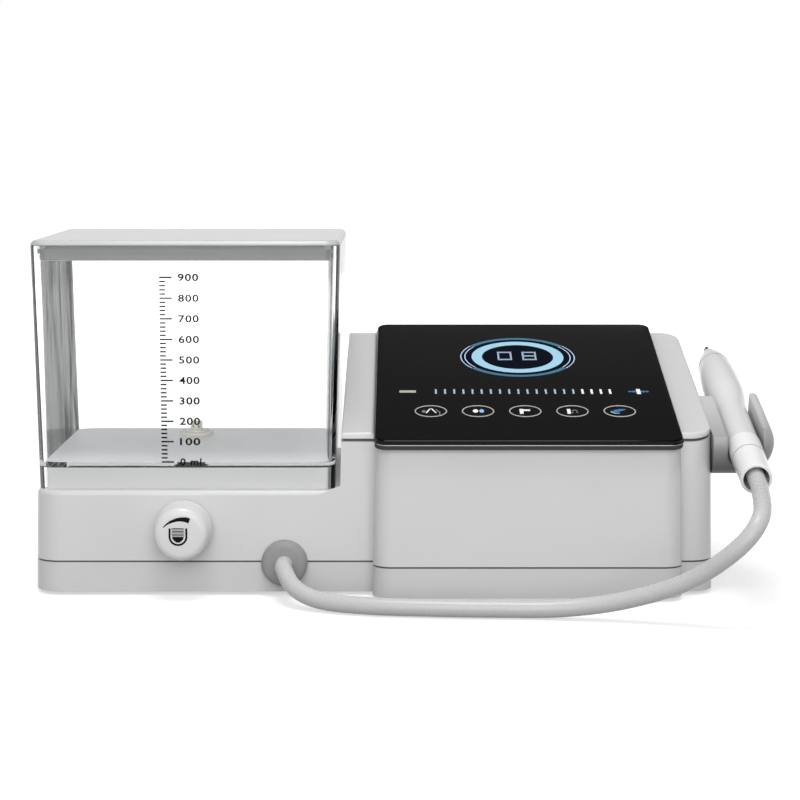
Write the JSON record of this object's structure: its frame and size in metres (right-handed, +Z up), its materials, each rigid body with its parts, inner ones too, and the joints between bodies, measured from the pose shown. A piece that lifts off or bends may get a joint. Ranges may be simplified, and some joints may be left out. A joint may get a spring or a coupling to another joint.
{
  "type": "ultrasonic dental scaler",
  "caption": "Tabletop ultrasonic scaler: sloping touch panel, lift-off clear water tank with lid, flow knob, and a corded handpiece resting in a side holder.",
  "frame": {"origin": "on the table under the middle of the machine, the free cord left out", "axes": "+X to the machine's right seen from its front, -Y out of its front face, +Z up"},
  "size_m": [0.3012, 0.1986, 0.1436],
  "materials": {
    "white_abs": "satin",
    "black_rubber": "matt",
    "steel": "brushed",
    "black_abs": "gloss",
    "black_glass": "polished",
    "green_board": "solder mask",
    "light_guide": "lit",
    "grey_plastic": "satin",
    "ferrite": "matt",
    "aluminium": "machined",
    "blue_sleeve": "gloss",
    "ivory_plastic": "satin",
    "silicone": "soft",
    "brass": "machined",
    "grey_rubber": "matt",
    "cord_jacket": "smooth",
    "clear_plastic": "clear",
    "lid_grey": "satin",
    "holder_grey": "satin",
    "titanium": "turned",
    "ceramic": "ceramic"
  },
  "bodies": {
    "base": {"bottom_tray": "white_abs", "main_housing": "white_abs", "top_cover": "white_abs", "rubber_feet": "black_rubber", "housing_screws": "steel", "panel_frame": "black_abs", "touch_glass": "black_glass", "display_board": "green_board", "display_ring": "light_guide", "digit_display": "light_guide", "level_bar": "light_guide", "key_lights": "light_guide", "ribbon_cable": "grey_plastic", "main_board": "green_board", "output_transformer": "ferrite", "heat_sink": "aluminium", "capacitors": "blue_sleeve", "buzzer": "black_abs", "pump_motor": "steel", "pump_case": "grey_plastic", "pump_tube": "silicone", "pump_saddle": "aluminium", "solenoid_valve": "blue_sleeve", "flow_valve": "brass", "valve_nut": "brass", "suction_hose": "silicone", "delivery_hose": "silicone", "valve_hose": "silicone", "outlet_hose": "silicone", "handpiece_leads": "grey_plastic", "cable_grommet": "grey_rubber", "cord_clamp": "aluminium", "cord_tail": "cord_jacket", "handpiece_cord": "cord_jacket", "tank_spigot": "grey_plastic", "holder_cradle": "holder_grey", "holder_screws": "steel", "rear_sockets": "black_abs", "switch_frame": "black_abs"},
    "tank": {"tank_body": "clear_plastic", "tank_valve": "ivory_plastic", "valve_seal": "black_rubber", "valve_spring": "steel", "strainer": "ivory_plastic"},
    "lid": {"tank_lid": "lid_grey", "lid_gasket": "grey_rubber"},
    "poppet": {"valve_poppet": "ivory_plastic"},
    "control_knob": {"knob": "white_abs", "knob_spindle": "steel"},
    "handpiece": {"handpiece_sleeve": "white_abs", "nose_cone": "grey_plastic", "scaler_tip": "steel", "rear_cap": "white_abs", "cord_plug": "cord_jacket", "horn": "titanium", "piezo_stack": "ceramic", "back_mass": "steel", "front_o_ring": "black_rubber"},
    "rotor": {"pump_rotor": "ivory_plastic"},
    "rocker": {"power_rocker": "black_abs"}
  },
  "joints": [
    {"name": "tank_lift", "type": "slide", "parent": "base", "child": "tank", "axis": [0, 0, 1], "range_m": [0, 0.06]},
    {"name": "lid_lift", "type": "slide", "parent": "tank", "child": "lid", "axis": [0, 0, 1], "range_m": [0, 0.04]},
    {"name": "valve_travel", "type": "slide", "parent": "tank", "child": "poppet", "axis": [0, 0, 1], "range_m": [-0.003, 0], "deforming": ["valve_spring"]},
    {"name": "knob_turn", "type": "hinge", "parent": "base", "child": "control_knob", "pos_m": [-0.0894, -0.04992, 0.0275], "axis": [0, 1, 0], "range_deg": [-135, 135]},
    {"name": "handpiece_lift", "type": "slide", "parent": "base", "child": "handpiece", "axis": [0, -0.2402, 0.9707], "range_m": [0, 0.06]},
    {"name": "pump_turn", "type": "hinge", "parent": "base", "child": "rotor", "pos_m": [-0.1256, 0.01208, 0.0235], "axis": [0, 1, 0], "continuous": true},
    {"name": "power_rocker_tilt", "type": "hinge", "parent": "base", "child": "rocker", "pos_m": [0.024, 0.07009, 0.025], "axis": [1, 0, 0], "range_deg": [0, 18]}
  ],
  "couplings": [
    {"joint": "valve_travel", "follows": "tank_lift", "ratio": -0.05}
  ]
}
